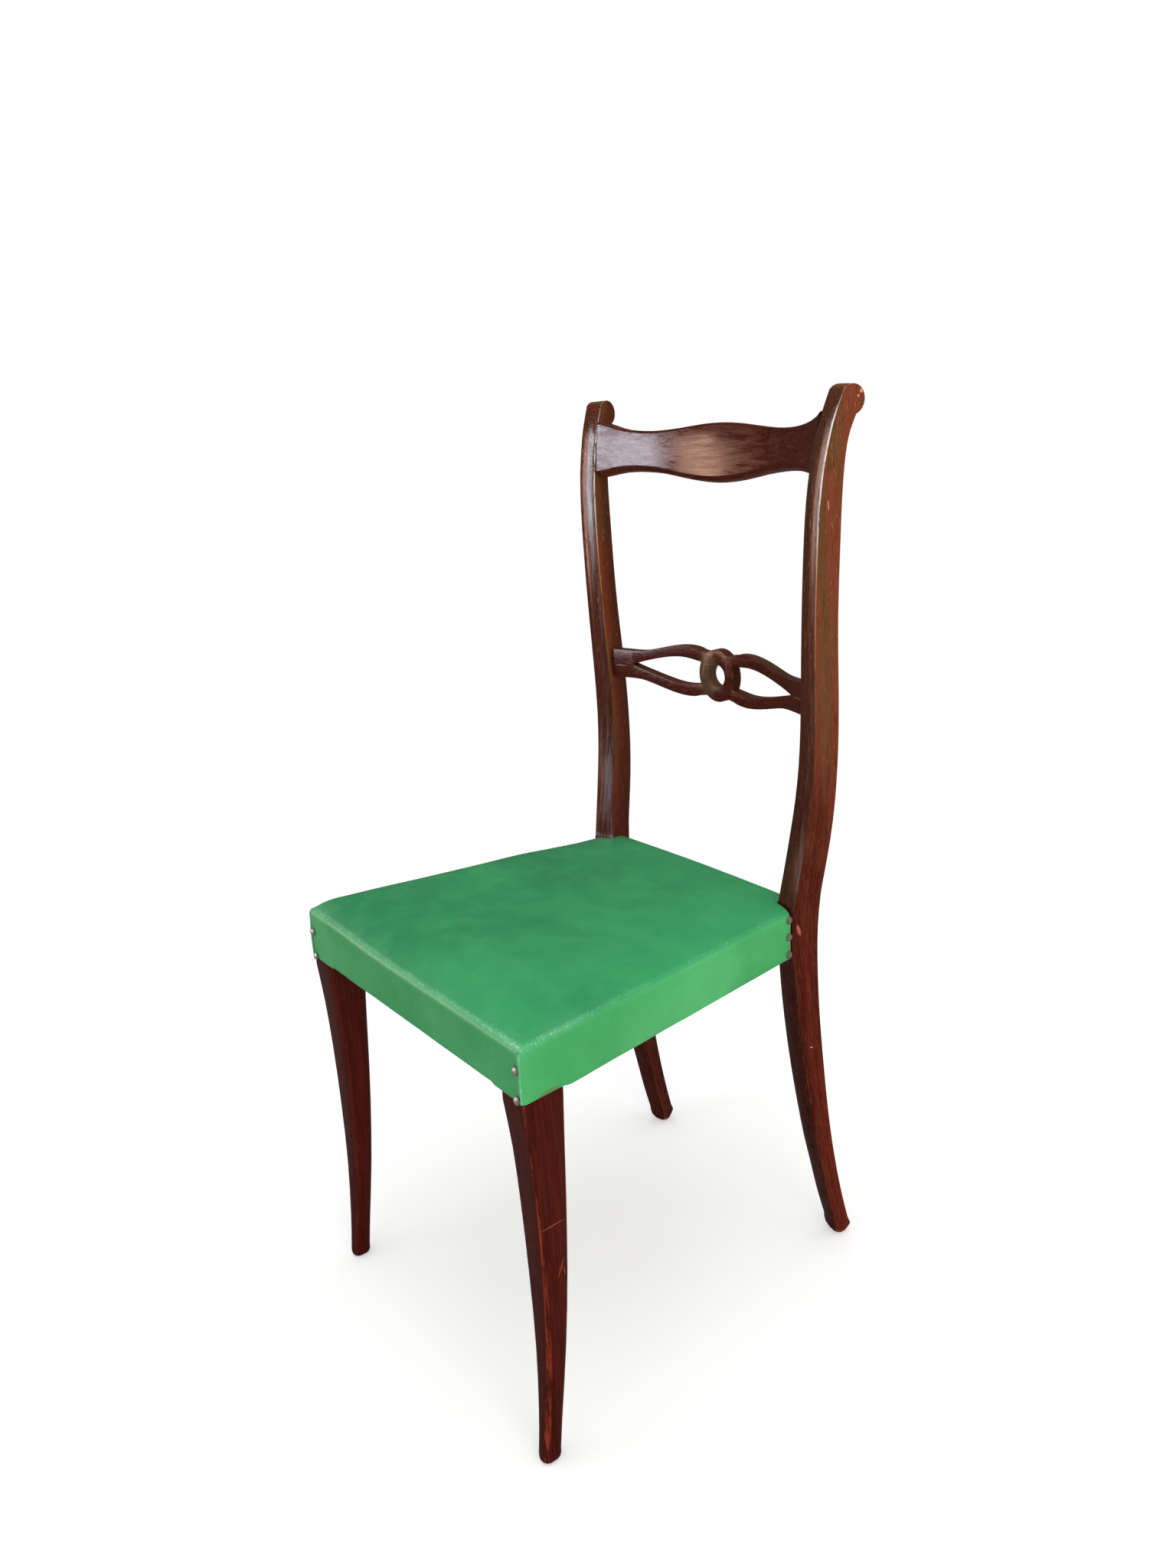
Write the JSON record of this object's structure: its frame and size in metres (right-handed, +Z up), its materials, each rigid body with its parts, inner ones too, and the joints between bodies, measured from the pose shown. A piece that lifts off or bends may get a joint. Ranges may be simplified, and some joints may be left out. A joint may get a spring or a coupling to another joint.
{
  "type": "lyre back chair",
  "caption": "Wooden dining chair: S-curved rear posts with scrolled heads, bowed crest rail, pierced lyre rail and a nailed leatherette seat on tapered front legs.",
  "frame": {"origin": "on the floor, under the middle of the chair's extents", "axes": "+Z up, the sitter faces -Y, +X is the sitter's left"},
  "size_m": [0.424, 0.4944, 0.9977],
  "materials": {
    "mahogany": "red-brown gloss lacquer, worn on the edges",
    "frame_wood": "bare planed beech",
    "leatherette": "satin green leatherette, mottled and worn",
    "webbing": "woven jute",
    "hessian": "coarse weave",
    "padding": "felted fibre",
    "steel": "plain",
    "nickel": "nickel plate, worn to the ground in the middle"
  },
  "bodies": {
    "root": {"rear_post_left": "mahogany", "rear_post_right": "mahogany", "front_leg_left": "mahogany", "front_leg_right": "mahogany", "crest_rail": "mahogany", "lyre_rail": "mahogany", "front_seat_rail": "frame_wood", "rear_seat_rail": "frame_wood", "side_seat_rail_left": "frame_wood", "side_seat_rail_right": "frame_wood", "corner_block_front_left": "frame_wood", "corner_block_front_right": "frame_wood", "corner_block_rear_left": "frame_wood", "corner_block_rear_right": "frame_wood", "block_screw_front_left_1": "steel", "block_screw_front_left_2": "steel", "block_screw_front_right_1": "steel", "block_screw_front_right_2": "steel", "block_screw_rear_left_1": "steel", "block_screw_rear_left_2": "steel", "block_screw_rear_right_1": "steel", "block_screw_rear_right_2": "steel", "webbing_long_1": "webbing", "webbing_long_2": "webbing", "webbing_long_3": "webbing", "webbing_cross_1": "webbing", "webbing_cross_2": "webbing", "webbing_cross_3": "webbing", "base_cloth": "hessian", "seat_pad": "padding", "seat_cover": "leatherette", "cover_nail_left_1": "nickel", "cover_nail_left_2": "nickel", "cover_nail_left_3": "nickel", "cover_nail_left_4": "nickel", "cover_nail_left_5": "nickel", "cover_nail_right_1": "nickel", "cover_nail_right_2": "nickel", "cover_nail_right_3": "nickel", "cover_nail_right_4": "nickel", "cover_nail_right_5": "nickel"}
  },
  "joints": []
}
